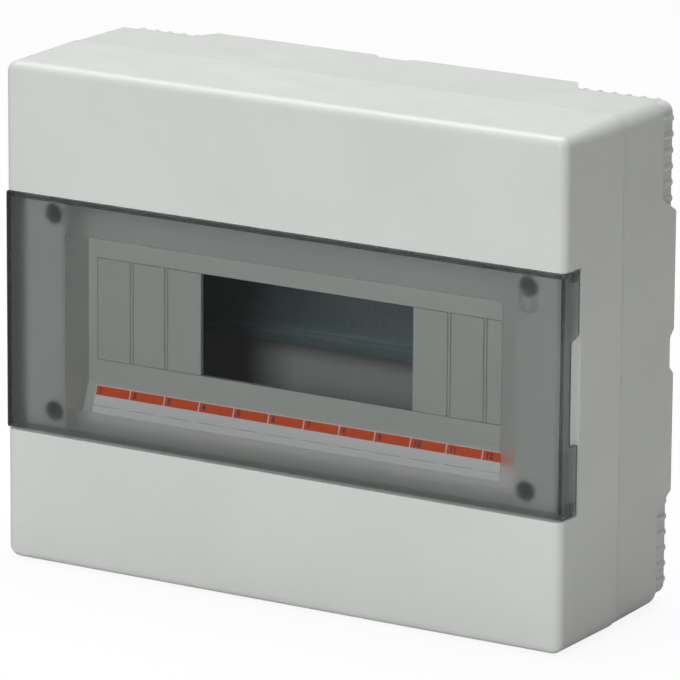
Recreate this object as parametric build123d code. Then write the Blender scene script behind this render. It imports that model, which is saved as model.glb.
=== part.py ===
"""Surface-mounting distribution box for twelve 18 mm DIN modules, in millimetres.

+X is to the right, +Z is up and the front of the box looks along -Y. The origin is the
centre of the rear face, the one that lies on the wall.
"""
from build123d import *
import os
from math import cos, radians, sin, tan

# ---- modules and outline ----
MODULE_COUNT = 12
MODULE_PITCH = 18.0          # width of one DIN module
BLANKED_EACH_SIDE = 3        # module ways closed by a blanking strip at each end
SIDE_MARGIN = 34.0           # from the module ways to the outer side
BAND_HEIGHT = 59.5           # plain band of the cover above and below the door
BAY_HEIGHT = 109.0           # opening between the bands that the door fills
BAY_RISE = 0.5               # bay centre above the box centre
DEPTH = 98.0                 # front face to wall
PARTING_DEPTH = 49.0         # front face to the joint between cover and back box
WALL = 2.5
SINK = WALL / 2              # a boss or rib starts this deep inside the wall it stands on

# ---- shape of the shells ----
COVER_DRAFT = 0.9            # each side, the front is smaller than the joint line
BASE_DRAFT = 0.5             # each side, the back is smaller than the joint line
FRONT_EDGE_RADIUS = 4.0
FRONT_CORNER_RADIUS = 5.0
JOINT_CORNER_RADIUS = 8.0
JOINT_STEP = 0.3             # the cover stands proud of the back box all round
TONGUE_THICKNESS = 1.1
TONGUE_HEIGHT = 3.0
TONGUE_CLEARANCE = 0.2
REAR_STEP_DEPTH = 12.0       # the side walls step in this far from the wall
REAR_STEP_INSET = 2.7
REAR_CORNER_RADIUS = 5.0
CORNER_FREE_X = 50.0         # corner length with no wall pad, top and bottom
CORNER_FREE_Z = 51.0         # corner length with no wall pad, left and right
PAD_END_CHAMFER = 7.0
PAD_NOTCH_WIDTH = 20.0
PAD_NOTCH_DEPTH = 3.4
RIB_PITCH = 7.1
RIB_RADIUS = 2.2
RIB_HEIGHT = 0.7
RIB_COUNT = 6

# ---- front of the cover ----
FLOOR_DEPTH = 8.0            # front face to the ledge that carries the cover screws
PANEL_DEPTH = 24.5           # front face to the module panel
RECESS_MARGIN = 4.6          # module ways to the recess side, at the panel
RECESS_TAPER = 6.0           # degrees
RECESS_LEDGE = 2.0           # bay edge to the recess, above and below
WINDOW_HEIGHT = 46.5         # module opening
LABEL_SLOPE = 18.0           # degrees from upright
LABEL_HEIGHT = 16.0
LABEL_THICKNESS = 0.3
LABEL_TOP_GAP = 1.8          # start of the slope to the label
LABEL_BOTTOM_GAP = 2.5       # label to the end of the recess
CHANNEL_WIDTH = 6.4          # side channel that the door's side wall sits in
SEAL_SLOT_WIDTH = 2.0
SEAL_SLOT_HEIGHT = 15.0
SEAL_SLOT_SPAN = 9.0
SEAL_SLOT_DEPTH = 1.8
SEAL_SLOT_DROP = 4.5         # screw centre down to the slot's centre

# ---- door ----
DOOR_THICKNESS = 2.5
DOOR_SIDE_THICKNESS = 2.2
DOOR_GAP = 0.8               # door to the bands
DOOR_SIDE_DEPTH = 13.7
DOOR_RETURN_DEPTH = 5.5
DOOR_EDGE_RADIUS = 1.2
DOOR_REAR_RADIUS = 0.8
DOOR_REAR_GAP = 1.0          # side wall's rear edge to the cover behind it
PIVOT_BACKSET = 2.5          # door's rear edge to the hinge axis
PIVOT_INSET = 2.4            # door's outer side to the hinge axis
PIVOT_PIN_RADIUS = 1.5
PIVOT_PIN_REACH = 1.7        # pin inside its hole
PIVOT_CLEARANCE = 0.05
PIVOT_BOSS_LENGTH = 5.0
FINGER_NOTCH_LENGTH = 46.0
FINGER_NOTCH_DEPTH = 6.8
FINGER_NOTCH_SLOPE = 2.8
CLEAR_PANE_MARGIN = 2.5      # module ways to the polished pane's edge
CLEAR_PANE_BORDER_TOP = 16.5 # bay edge to the polished pane's edge
CLEAR_PANE_BORDER_BOTTOM = 13.5
CLEAR_PANE_STEP = 0.3        # the frosted border is this much thinner, at the back

# ---- blanking strips ----
BLANK_THICKNESS = 2.0
BLANK_CLEARANCE = 0.2
BREAK_GROOVE = 0.5
BREAK_GROOVE_SPACING = 1.5
HOOK_WIDTH = 8.0
HOOK_THICKNESS = 1.4
HOOK_REACH = 1.2
HOOK_LENGTH = 3.0
HOOK_CLEARANCE = 0.1

# ---- cover fastening ----
SCREW_MARGIN_X = 12.0        # module ways to the screw axis
SCREW_DROP_Z = 9.5           # bay edge to the screw axis
COVER_BOSS_RADIUS = 5.4
COVER_BOSS_LENGTH = 23.0
COUNTERBORE_RADIUS = 4.6
COUNTERBORE_DEPTH = 5.0
WASHER_THICKNESS = 0.8
SCREW_HEAD_RADIUS = 4.1
SCREW_HEAD_HEIGHT = 2.8
SCREW_SHANK_RADIUS = 2.0
SCREW_GRIP = 12.0            # screw length inside its pillar
SCREW_HOLE_CLEARANCE = 0.3
THREAD_CLEARANCE = 0.05
PILLAR_GAP = 0.5             # cover boss to pillar
PILLAR_RADIUS = 5.0
PILLAR_WEB = 2.0
DRIVE_SLOT_WIDTH = 1.2
DRIVE_SLOT_DEPTH = 1.4
HEAD_ROUNDING = 0.25         # share of a screw head's height
SCREW_TIP_GAP = 0.5          # screw tip to the bottom of its hole

# ---- DIN rail ----
RAIL_HEIGHT = 35.0
RAIL_FLANGE = 5.0
RAIL_DEPTH = 7.5
RAIL_THICKNESS = 1.0
RAIL_OVERHANG = 6.0          # rail beyond the module ways, each end
RAIL_BEND_RADIUS = 0.6
RAIL_SCREW_INSET = 16.0      # rail end to its screw
RAIL_SLOT_LENGTH = 12.0
SUPPORT_WIDTH = 24.0
SUPPORT_HEIGHT = 25.0
SUPPORT_DEPTH = 7.5          # rail's back to the boss on the rear wall
SUPPORT_CORNER_RADIUS = 3.0
SUPPORT_FOOT = 3.0
SUPPORT_FOOT_MARGIN = 4.0
RAIL_SCREW_HEAD_RADIUS = 4.0
RAIL_SCREW_HEAD_HEIGHT = 2.4
RAIL_SCREW_GRIP = 8.0
RAIL_BOSS_RADIUS = 6.0
RAIL_BOSS_HEIGHT = 7.0

# ---- earth and neutral terminals ----
TERMINAL_COUNT = 14
TERMINAL_PITCH = 8.0
TERMINAL_BAR_HEIGHT = 8.0
TERMINAL_BAR_DEPTH = 9.0
TERMINAL_BAR_CHAMFER = 0.4
TERMINAL_HOLE_RADIUS = 2.6
TERMINAL_SCREW_RADIUS = 2.0
TERMINAL_SCREW_LENGTH = 5.5
TERMINAL_DRIVE_WIDTH = 0.8
TERMINAL_DRIVE_DEPTH = 1.2
CARRIER_WALL = 2.0
CARRIER_DEPTH = 12.0
CARRIER_LIP = 4.0
CARRIER_EAR = 11.0
CARRIER_EAR_DEPTH = 4.0
CARRIER_FROM_EDGE = 34.0     # box edge to the terminal line
CARRIER_SCREW_GRIP = 6.0
CARRIER_BOSS_RADIUS = 4.5
CARRIER_BOSS_HEIGHT = 6.0
FIT_CLEARANCE = 0.15

# ---- wall fixing and cable entries ----
WALL_SLOT_INSET_X = 36.0     # outer side to the slot's centre
WALL_SLOT_INSET_Z = 31.0
WALL_SLOT_RADIUS = 2.5
WALL_SLOT_LENGTH = 9.0
WALL_COLLAR_WALL = 2.0
WALL_COLLAR_HEIGHT = 4.0
WALL_COLLAR_SPACE = 4.0      # room for the screw head around the slot
KNOCKOUT_RADIUS = 12.5
KNOCKOUT_PITCH = 40.0
KNOCKOUT_COUNT = 5
KNOCKOUT_GROOVE = 1.0
KNOCKOUT_SCORE_DEPTH = 1.25
REAR_ENTRY_WIDTH = 60.0
REAR_ENTRY_HEIGHT = 22.0
REAR_ENTRY_DROP = 42.0       # box centre to the rear entry's centre

# ---- positions that follow from the sizes ----
WAYS_WIDTH = MODULE_COUNT * MODULE_PITCH
WAYS_HALF = WAYS_WIDTH / 2
WIDTH = WAYS_WIDTH + 2 * SIDE_MARGIN
HEIGHT = BAY_HEIGHT + 2 * BAND_HEIGHT
FRONT_Y = -DEPTH
JOINT_Y = FRONT_Y + PARTING_DEPTH
REAR_STEP_Y = -REAR_STEP_DEPTH
FLOOR_Y = FRONT_Y + FLOOR_DEPTH
PANEL_Y = FRONT_Y + PANEL_DEPTH
BASE_FLOOR_Y = -WALL
FRONT_WIDTH = WIDTH - 2 * COVER_DRAFT
FRONT_HEIGHT = HEIGHT - 2 * COVER_DRAFT
BASE_WIDTH = WIDTH - 2 * JOINT_STEP
BASE_HEIGHT = HEIGHT - 2 * JOINT_STEP
BAY_HALF = BAY_HEIGHT / 2
BAY_TOP = BAY_RISE + BAY_HALF
BAY_BOTTOM = BAY_RISE - BAY_HALF
CHANNEL_X = WIDTH / 2 - COVER_DRAFT - CHANNEL_WIDTH
DOOR_REAR_Y = FRONT_Y + DOOR_SIDE_DEPTH
CHANNEL_Y = DOOR_REAR_Y + DOOR_REAR_GAP
DOOR_DRAFT_AT_PIVOT = COVER_DRAFT * (1 - (DOOR_SIDE_DEPTH - PIVOT_BACKSET) / PARTING_DEPTH)
PIVOT_X = -(WIDTH / 2 - DOOR_DRAFT_AT_PIVOT - PIVOT_INSET)
PIVOT_Y = DOOR_REAR_Y - PIVOT_BACKSET
DOOR_TOP = BAY_TOP - DOOR_GAP
DOOR_BOTTOM = BAY_BOTTOM + DOOR_GAP
RECESS_DEPTH = PANEL_DEPTH - FLOOR_DEPTH
RECESS_HALF = WAYS_HALF + RECESS_MARGIN
RECESS_HALF_FRONT = RECESS_HALF + RECESS_DEPTH * tan(radians(RECESS_TAPER))
RECESS_HALF_HEIGHT = BAY_HALF - RECESS_LEDGE
LABEL_SLOPE_LENGTH = LABEL_TOP_GAP + LABEL_HEIGHT + LABEL_BOTTOM_GAP
LABEL_SLOPE_TOP = BAY_RISE - RECESS_HALF_HEIGHT + LABEL_SLOPE_LENGTH * cos(radians(LABEL_SLOPE))
SCREW_X = WAYS_HALF + SCREW_MARGIN_X
SCREW_Z = BAY_HALF - SCREW_DROP_Z
SCREW_SEAT_Y = FLOOR_Y + COUNTERBORE_DEPTH
PILLAR_TOP_Y = FLOOR_Y + COVER_BOSS_LENGTH + PILLAR_GAP
RAIL_BOSS_Y = BASE_FLOOR_Y - RAIL_BOSS_HEIGHT
RAIL_BACK_Y = RAIL_BOSS_Y - SUPPORT_DEPTH
RAIL_FACE_Y = RAIL_BACK_Y - RAIL_DEPTH
RAIL_LENGTH = WAYS_WIDTH + 2 * RAIL_OVERHANG
RAIL_SCREW_X = RAIL_LENGTH / 2 - RAIL_SCREW_INSET
TERMINAL_LENGTH = TERMINAL_COUNT * TERMINAL_PITCH
TERMINAL_Z = HEIGHT / 2 - CARRIER_FROM_EDGE
CARRIER_FOOT_Y = BASE_FLOOR_Y - CARRIER_BOSS_HEIGHT
CARRIER_TOP_Y = CARRIER_FOOT_Y - CARRIER_DEPTH
CARRIER_SCREW_X = TERMINAL_LENGTH / 2 + CARRIER_WALL + CARRIER_EAR / 2
CARRIER_SCREW_Y = CARRIER_FOOT_Y - CARRIER_EAR_DEPTH
CORNERS = (("top_left", -1, 1), ("top_right", 1, 1), ("bottom_left", -1, -1), ("bottom_right", 1, -1))


def section(y):
    """Sketch plane facing the front at depth y, with local x along X and local y along Z."""
    return Plane.XZ.offset(-y)


def block(x0, x1, y0, y1, z0, z1):
    size = Box(abs(x1 - x0), abs(y1 - y0), abs(z1 - z0))
    return Pos((x0 + x1) / 2, (y0 + y1) / 2, (z0 + z1) / 2) * size


def rod(x, z, y0, y1, radius):
    """Cylinder along Y from y0 to y1."""
    return Pos(x, (y0 + y1) / 2, z) * Rot(90, 0, 0) * Cylinder(radius, abs(y1 - y0))


def post(x, y, z0, z1, radius):
    """Cylinder along Z from z0 to z1."""
    return Pos(x, y, (z0 + z1) / 2) * Cylinder(radius, abs(z1 - z0))


def prism(outline, y0, y1):
    """A sketch of the front view, extruded from depth y0 back to depth y1."""
    return extrude(section(y1) * outline, y1 - y0)


def rounded_form(front, back):
    """Loft between two rounded rectangles, each given as (width, height, radius, y)."""
    faces = [section(y) * RectangleRounded(width, height, radius)
             for width, height, radius, y in (front, back)]
    return loft(faces)


def mirror_x(shape):
    return mirror(shape, about=Plane.YZ)


# ---- front cover ----
def cover_outer_form():
    form = rounded_form((FRONT_WIDTH, FRONT_HEIGHT, FRONT_CORNER_RADIUS, FRONT_Y),
                        (WIDTH, HEIGHT, JOINT_CORNER_RADIUS, JOINT_Y))
    return fillet(form.edges().group_by(Axis.Y)[0], FRONT_EDGE_RADIUS)


def cover_inner_form():
    return rounded_form((FRONT_WIDTH - 2 * WALL, FRONT_HEIGHT - 2 * WALL,
                         FRONT_CORNER_RADIUS - WALL, FRONT_Y + WALL),
                        (WIDTH - 2 * WALL, HEIGHT - 2 * WALL,
                         JOINT_CORNER_RADIUS - WALL, JOINT_Y))


def recess_pocket(grow):
    """Tapered pocket down to the module panel, widened by grow on every side."""
    mouth = Rectangle(2 * (RECESS_HALF_FRONT + grow), 2 * (RECESS_HALF_HEIGHT + grow))
    floor_cut = section(FLOOR_Y) * Pos(0, BAY_RISE) * mouth
    return extrude(floor_cut, -(RECESS_DEPTH + grow), taper=RECESS_TAPER)


def cover_pockets(grow):
    """All that the cover's front is set back by; grow adds the wall thickness behind it."""
    bay = block(-WIDTH, WIDTH, FRONT_Y - WALL, FLOOR_Y + grow, BAY_BOTTOM - grow, BAY_TOP + grow)
    channel = block(CHANNEL_X - grow, WIDTH, FRONT_Y - WALL, CHANNEL_Y + grow,
                    BAY_BOTTOM - grow, BAY_TOP + grow)
    return bay + channel + mirror_x(channel) + recess_pocket(grow)


def label_ledge():
    """Wedge under the module panel whose sloping face carries the circuit label."""
    top = LABEL_SLOPE_TOP
    bottom = BAY_RISE - RECESS_HALF_HEIGHT - SINK
    toe_y = PANEL_Y - (top - bottom) * tan(radians(LABEL_SLOPE))
    back_y = PANEL_Y + SINK
    outline = Polyline((toe_y, bottom), (PANEL_Y, top), (back_y, top), (back_y, bottom), close=True)
    wedge = extrude(Plane.YZ * make_face(outline), RECESS_HALF_FRONT, both=True)
    return wedge & recess_pocket(SINK)


def seal_slot():
    """C-shaped groove round a cover screw, open towards the side of the box."""
    ring = SlotOverall(SEAL_SLOT_HEIGHT, SEAL_SLOT_SPAN, rotation=90)
    ring -= SlotOverall(SEAL_SLOT_HEIGHT - 2 * SEAL_SLOT_WIDTH,
                        SEAL_SLOT_SPAN - 2 * SEAL_SLOT_WIDTH, rotation=90)
    ring -= Pos(SEAL_SLOT_SPAN / 2, 0) * Rectangle(SEAL_SLOT_SPAN, SEAL_SLOT_WIDTH)
    centre = Pos(SCREW_X, BAY_RISE + SCREW_Z - SEAL_SLOT_DROP)
    return prism(centre * ring, FLOOR_Y - WALL, FLOOR_Y + SEAL_SLOT_DEPTH)


def front_cover():
    cover = cover_outer_form() - cover_pockets(0)
    for _, side, level in CORNERS:
        cover += rod(side * SCREW_X, BAY_RISE + level * SCREW_Z, FLOOR_Y,
                     FLOOR_Y + COVER_BOSS_LENGTH, COVER_BOSS_RADIUS)
    hollow = cover_inner_form() - cover_pockets(WALL)
    for _, side, level in CORNERS:
        hollow -= rod(side * SCREW_X, BAY_RISE + level * SCREW_Z, FLOOR_Y,
                      FLOOR_Y + COVER_BOSS_LENGTH, COVER_BOSS_RADIUS)
    cover -= hollow
    cover += label_ledge()
    window = Pos(0, BAY_RISE) * Rectangle(WAYS_WIDTH, WINDOW_HEIGHT)
    cover -= prism(window, PANEL_Y - SINK, PANEL_Y + 2 * WALL)
    rebate_wall = JOINT_STEP + WALL - TONGUE_THICKNESS - TONGUE_CLEARANCE
    rebate = RectangleRounded(WIDTH - 2 * rebate_wall, HEIGHT - 2 * rebate_wall,
                              JOINT_CORNER_RADIUS - rebate_wall)
    cover -= prism(rebate, JOINT_Y - TONGUE_HEIGHT - TONGUE_CLEARANCE, JOINT_Y)
    for _, side, level in CORNERS:
        x = side * SCREW_X
        z = BAY_RISE + level * SCREW_Z
        cover -= rod(x, z, FLOOR_Y - WALL, SCREW_SEAT_Y, COUNTERBORE_RADIUS)
        cover -= rod(x, z, FLOOR_Y, PILLAR_TOP_Y, SCREW_SHANK_RADIUS + SCREW_HOLE_CLEARANCE)
        cover -= post(side * PIVOT_X, PIVOT_Y, BAY_RISE + level * (BAY_HALF - WALL),
                      BAY_RISE + level * (BAY_HALF + WALL), PIVOT_PIN_RADIUS + PIVOT_CLEARANCE)
    return cover - seal_slot()


# ---- door ----
def door():
    shell = rounded_form((FRONT_WIDTH, FRONT_HEIGHT, FRONT_CORNER_RADIUS, FRONT_Y),
                         (WIDTH, HEIGHT, JOINT_CORNER_RADIUS, JOINT_Y))
    shell &= block(-WIDTH, WIDTH, FRONT_Y, DOOR_REAR_Y, DOOR_BOTTOM, DOOR_TOP)
    shell = fillet(shell.edges().group_by(Axis.Y)[0], DOOR_EDGE_RADIUS)
    uprights = [edge for edge in shell.edges()
                if edge.bounding_box().size.Z > BAY_HALF and edge.center().Y > PIVOT_Y]
    shell = fillet(uprights, DOOR_REAR_RADIUS)
    inside = WIDTH / 2 - COVER_DRAFT - DOOR_SIDE_THICKNESS
    shell -= block(-inside, inside, FRONT_Y + DOOR_THICKNESS, FRONT_Y + DOOR_RETURN_DEPTH,
                   DOOR_BOTTOM + DOOR_SIDE_THICKNESS, DOOR_TOP - DOOR_SIDE_THICKNESS)
    shell -= block(-inside, inside, FRONT_Y + DOOR_RETURN_DEPTH, DOOR_REAR_Y + WALL, -HEIGHT, HEIGHT)
    pane = block(-WAYS_HALF - CLEAR_PANE_MARGIN, WAYS_HALF + CLEAR_PANE_MARGIN,
                 FRONT_Y + DOOR_THICKNESS, FRONT_Y + DOOR_THICKNESS + CLEAR_PANE_STEP,
                 BAY_BOTTOM + CLEAR_PANE_BORDER_BOTTOM, BAY_TOP - CLEAR_PANE_BORDER_TOP)
    shell += pane
    for end, inward in ((DOOR_TOP, -1), (DOOR_BOTTOM, 1)):
        for side in (-1, 1):
            shell += post(-side * PIVOT_X, PIVOT_Y, end, end + inward * PIVOT_BOSS_LENGTH, PIVOT_INSET)
        pin_end = end - inward * (DOOR_GAP + PIVOT_PIN_REACH)
        shell += post(PIVOT_X, PIVOT_Y, end + inward, pin_end, PIVOT_PIN_RADIUS)
    return shell - finger_notch()


def finger_notch():
    """Grip notch in the right side wall, with a sloping upper end."""
    half = FINGER_NOTCH_LENGTH / 2
    root_y = DOOR_REAR_Y - FINGER_NOTCH_DEPTH
    rear_y = DOOR_REAR_Y + WALL
    slope = FINGER_NOTCH_SLOPE * (rear_y - root_y) / FINGER_NOTCH_DEPTH
    outline = Polyline((root_y, BAY_RISE - half), (root_y, BAY_RISE + half),
                       (rear_y, BAY_RISE + half + slope), (rear_y, BAY_RISE - half), close=True)
    return Pos(CHANNEL_X, 0, 0) * extrude(Plane.YZ * make_face(outline), WIDTH / 2)


# ---- blanking strips ----
def blanking_strip():
    """Strip that closes the ways at the left end; it snaps off one module at a time."""
    width = BLANKED_EACH_SIDE * MODULE_PITCH
    left = -WAYS_HALF
    half = WINDOW_HEIGHT / 2 - BLANK_CLEARANCE
    strip = block(left + BLANK_CLEARANCE, left + width, PANEL_Y, PANEL_Y + BLANK_THICKNESS,
                  BAY_RISE - half, BAY_RISE + half)
    for way in range(BLANKED_EACH_SIDE):
        x = left + (way + 0.5) * MODULE_PITCH
        for level in (-1, 1):
            root = BAY_RISE + level * (half - HOOK_THICKNESS)
            tip = BAY_RISE + level * half
            rear_y = PANEL_Y + WALL + HOOK_LENGTH
            strip += block(x - HOOK_WIDTH / 2, x + HOOK_WIDTH / 2, PANEL_Y + BLANK_THICKNESS / 2,
                           rear_y, root, tip)
            strip += block(x - HOOK_WIDTH / 2, x + HOOK_WIDTH / 2, PANEL_Y + WALL + HOOK_CLEARANCE,
                           rear_y, root, tip + level * HOOK_REACH)
    for seam in range(1, BLANKED_EACH_SIDE):
        for shift in (-0.5, 0.5):
            x = left + seam * MODULE_PITCH + shift * BREAK_GROOVE_SPACING
            strip -= block(x - BREAK_GROOVE / 2, x + BREAK_GROOVE / 2, PANEL_Y - WALL,
                           PANEL_Y + BREAK_GROOVE, -HEIGHT, HEIGHT)
    return strip


def circuit_label():
    """Printed card on the sloping ledge, one cell for each way."""
    card = Box(WAYS_WIDTH, LABEL_THICKNESS, LABEL_HEIGHT)
    down = LABEL_TOP_GAP + LABEL_HEIGHT / 2
    slope = radians(LABEL_SLOPE)
    y = PANEL_Y - down * sin(slope) - LABEL_THICKNESS / 2 * cos(slope)
    z = LABEL_SLOPE_TOP - down * cos(slope) + LABEL_THICKNESS / 2 * sin(slope)
    return Pos(0, y, z) * Rot(-LABEL_SLOPE, 0, 0) * card


# ---- screws ----
def screw(x, z, seat_y, head_radius, head_height, end_y):
    """Cheese-head screw seen from the front, with a straight drive slot."""
    body = rod(x, z, seat_y - head_height, seat_y, head_radius)
    body = fillet(body.edges().group_by(Axis.Y)[0], head_height * HEAD_ROUNDING)
    body += rod(x, z, seat_y - head_height / 2, end_y, SCREW_SHANK_RADIUS)
    top = seat_y - head_height
    slot = block(x - WIDTH, x + WIDTH, top - DRIVE_SLOT_DEPTH, top + DRIVE_SLOT_DEPTH,
                 z - DRIVE_SLOT_WIDTH / 2, z + DRIVE_SLOT_WIDTH / 2)
    return body - slot


def cover_screw(side, level):
    return screw(side * SCREW_X, BAY_RISE + level * SCREW_Z, SCREW_SEAT_Y - WASHER_THICKNESS,
                 SCREW_HEAD_RADIUS, SCREW_HEAD_HEIGHT, PILLAR_TOP_Y + SCREW_GRIP)


def cover_screw_washer(side, level):
    x = side * SCREW_X
    z = BAY_RISE + level * SCREW_Z
    ring = rod(x, z, SCREW_SEAT_Y - WASHER_THICKNESS, SCREW_SEAT_Y, SCREW_HEAD_RADIUS)
    return ring - rod(x, z, FLOOR_Y, PILLAR_TOP_Y, SCREW_SHANK_RADIUS + FIT_CLEARANCE)


# ---- DIN rail ----
def din_rail():
    half = RAIL_HEIGHT / 2
    web = half - RAIL_FLANGE
    outline = make_face(Polyline(
        (RAIL_FACE_Y, half), (RAIL_FACE_Y, web), (RAIL_BACK_Y - RAIL_THICKNESS, web),
        (RAIL_BACK_Y - RAIL_THICKNESS, -web), (RAIL_FACE_Y, -web), (RAIL_FACE_Y, -half),
        (RAIL_FACE_Y + RAIL_THICKNESS, -half), (RAIL_FACE_Y + RAIL_THICKNESS, -web - RAIL_THICKNESS),
        (RAIL_BACK_Y, -web - RAIL_THICKNESS), (RAIL_BACK_Y, web + RAIL_THICKNESS),
        (RAIL_FACE_Y + RAIL_THICKNESS, web + RAIL_THICKNESS), (RAIL_FACE_Y + RAIL_THICKNESS, half),
        close=True))
    rail = extrude(Plane.YZ * outline, RAIL_LENGTH / 2, both=True)
    rail = Pos(0, 0, BAY_RISE) * rail
    bends = [edge for edge in rail.edges().filter_by(Axis.X)
             if abs(abs(edge.center().Z - BAY_RISE) - half) > RAIL_THICKNESS]
    rail = fillet(bends, RAIL_BEND_RADIUS)
    slot = SlotOverall(RAIL_SLOT_LENGTH, 2 * (SCREW_SHANK_RADIUS + SCREW_HOLE_CLEARANCE))
    for side in (-1, 1):
        rail -= prism(Pos(side * RAIL_SCREW_X, BAY_RISE) * slot, RAIL_FACE_Y, RAIL_BACK_Y + WALL)
    return rail


def rail_support():
    """Moulded stand-off under the right end of the rail, with a flange on the back box."""
    half_w = SUPPORT_WIDTH / 2
    half_h = SUPPORT_HEIGHT / 2
    x = RAIL_SCREW_X
    body = block(x - half_w, x + half_w, RAIL_BACK_Y, RAIL_BOSS_Y, BAY_RISE - half_h, BAY_RISE + half_h)
    body = fillet(body.edges().filter_by(Axis.Y), SUPPORT_CORNER_RADIUS)
    margin = SUPPORT_FOOT_MARGIN
    body += block(x - half_w - margin, x + half_w + margin, RAIL_BOSS_Y - SUPPORT_FOOT, RAIL_BOSS_Y,
                  BAY_RISE - half_h, BAY_RISE + half_h)
    body -= rod(x, BAY_RISE, RAIL_FACE_Y, 0, SCREW_SHANK_RADIUS + SCREW_HOLE_CLEARANCE)
    return body


def rail_screw(side):
    return screw(side * RAIL_SCREW_X, BAY_RISE, RAIL_BACK_Y - RAIL_THICKNESS, RAIL_SCREW_HEAD_RADIUS,
                 RAIL_SCREW_HEAD_HEIGHT, RAIL_BOSS_Y + RAIL_SCREW_GRIP)


# ---- earth and neutral terminals ----
def terminal_carrier(z):
    """Insulating trough screwed to the back box, open to the front."""
    half = TERMINAL_LENGTH / 2 + CARRIER_WALL
    tall = TERMINAL_BAR_HEIGHT / 2 + CARRIER_WALL
    end = half + CARRIER_EAR
    carrier = block(-half, half, CARRIER_TOP_Y, CARRIER_FOOT_Y, z - tall, z + tall)
    carrier += block(-end, end, CARRIER_SCREW_Y, CARRIER_FOOT_Y, z - tall, z + tall)
    inner = TERMINAL_LENGTH / 2 + FIT_CLEARANCE
    space = TERMINAL_BAR_HEIGHT / 2 + FIT_CLEARANCE
    carrier -= block(-inner, inner, CARRIER_TOP_Y - WALL, CARRIER_TOP_Y + CARRIER_DEPTH - CARRIER_WALL,
                     z - space, z + space)
    for side in (-1, 1):
        carrier -= rod(side * CARRIER_SCREW_X, z, CARRIER_TOP_Y, 0,
                       SCREW_SHANK_RADIUS + SCREW_HOLE_CLEARANCE)
    carrier -= block(-inner + CARRIER_LIP, inner - CARRIER_LIP, CARRIER_TOP_Y - WALL,
                     CARRIER_FOOT_Y - CARRIER_WALL, z - tall - WALL, z)
    return carrier


def terminal_bar_y():
    """Front face of the brass bar, standing proud of its carrier."""
    return CARRIER_FOOT_Y - CARRIER_WALL - TERMINAL_BAR_DEPTH


def terminal_positions():
    return [(index - (TERMINAL_COUNT - 1) / 2) * TERMINAL_PITCH for index in range(TERMINAL_COUNT)]


def terminal_bar(z):
    front = terminal_bar_y()
    half = TERMINAL_BAR_HEIGHT / 2
    bar = block(-TERMINAL_LENGTH / 2, TERMINAL_LENGTH / 2, front, front + TERMINAL_BAR_DEPTH,
                z - half, z + half)
    bar = chamfer(bar.edges().filter_by(Axis.X), TERMINAL_BAR_CHAMFER)
    wire_y = front + TERMINAL_BAR_DEPTH / 2
    for x in terminal_positions():
        bar -= post(x, wire_y, z - TERMINAL_BAR_HEIGHT, z + TERMINAL_BAR_HEIGHT, TERMINAL_HOLE_RADIUS)
        bar -= rod(x, z, front - WALL, wire_y, TERMINAL_SCREW_RADIUS + THREAD_CLEARANCE)
    return bar


def terminal_screw(x, z):
    front = terminal_bar_y()
    top = front - TERMINAL_SCREW_LENGTH / 2
    body = rod(x, z, top, front + TERMINAL_SCREW_LENGTH / 2, TERMINAL_SCREW_RADIUS)
    slot = block(x - TERMINAL_PITCH, x + TERMINAL_PITCH, top - TERMINAL_DRIVE_DEPTH,
                 top + TERMINAL_DRIVE_DEPTH, z - TERMINAL_DRIVE_WIDTH / 2, z + TERMINAL_DRIVE_WIDTH / 2)
    return body - slot


def carrier_screw(side, z):
    return screw(side * CARRIER_SCREW_X, z, CARRIER_SCREW_Y, RAIL_SCREW_HEAD_RADIUS,
                 RAIL_SCREW_HEAD_HEIGHT, CARRIER_FOOT_Y + CARRIER_SCREW_GRIP)


# ---- back box ----
def wall_pads():
    """Flush stretches of side wall that reach the wall, with a notch in the middle of each."""
    depth = REAR_STEP_DEPTH
    notch_half = PAD_NOTCH_WIDTH / 2
    pads = None
    for half_run, turn, reach in ((BASE_WIDTH / 2 - CORNER_FREE_X, 0, BASE_HEIGHT / 2),
                                  (BASE_HEIGHT / 2 - CORNER_FREE_Z, 90, BASE_WIDTH / 2)):
        end = half_run + PAD_END_CHAMFER
        outline = Polyline(
            (-end, -depth), (-half_run, 0), (-notch_half, 0),
            (-notch_half + PAD_NOTCH_DEPTH, -PAD_NOTCH_DEPTH),
            (notch_half - PAD_NOTCH_DEPTH, -PAD_NOTCH_DEPTH), (notch_half, 0),
            (half_run, 0), (end, -depth), close=True)
        face = Plane.XY * make_face(outline)
        thick = REAR_STEP_INSET + WALL
        for side in (0, 180):
            pad = Pos(0, 0, reach - BASE_DRAFT - thick) * extrude(face, thick)
            pad = Rot(0, turn + side, 0) * pad
            pads = pad if pads is None else pads + pad
    return pads


def grip_ribs():
    """Half-round ribs on the stepped-in corners at the rear."""
    ribs = []
    half_w = BASE_WIDTH / 2 - BASE_DRAFT - REAR_STEP_INSET
    half_h = BASE_HEIGHT / 2 - BASE_DRAFT - REAR_STEP_INSET
    sink = RIB_RADIUS - RIB_HEIGHT
    for index in range(RIB_COUNT):
        along_x = half_w - REAR_CORNER_RADIUS - RIB_RADIUS - index * RIB_PITCH
        along_z = half_h - REAR_CORNER_RADIUS - RIB_RADIUS - index * RIB_PITCH
        for _, side, level in CORNERS:
            ribs.append(rod(side * along_x, level * (half_h - sink), REAR_STEP_Y, 0, RIB_RADIUS))
            ribs.append(rod(side * (half_w - sink), level * along_z, REAR_STEP_Y, 0, RIB_RADIUS))
    return ribs


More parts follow.
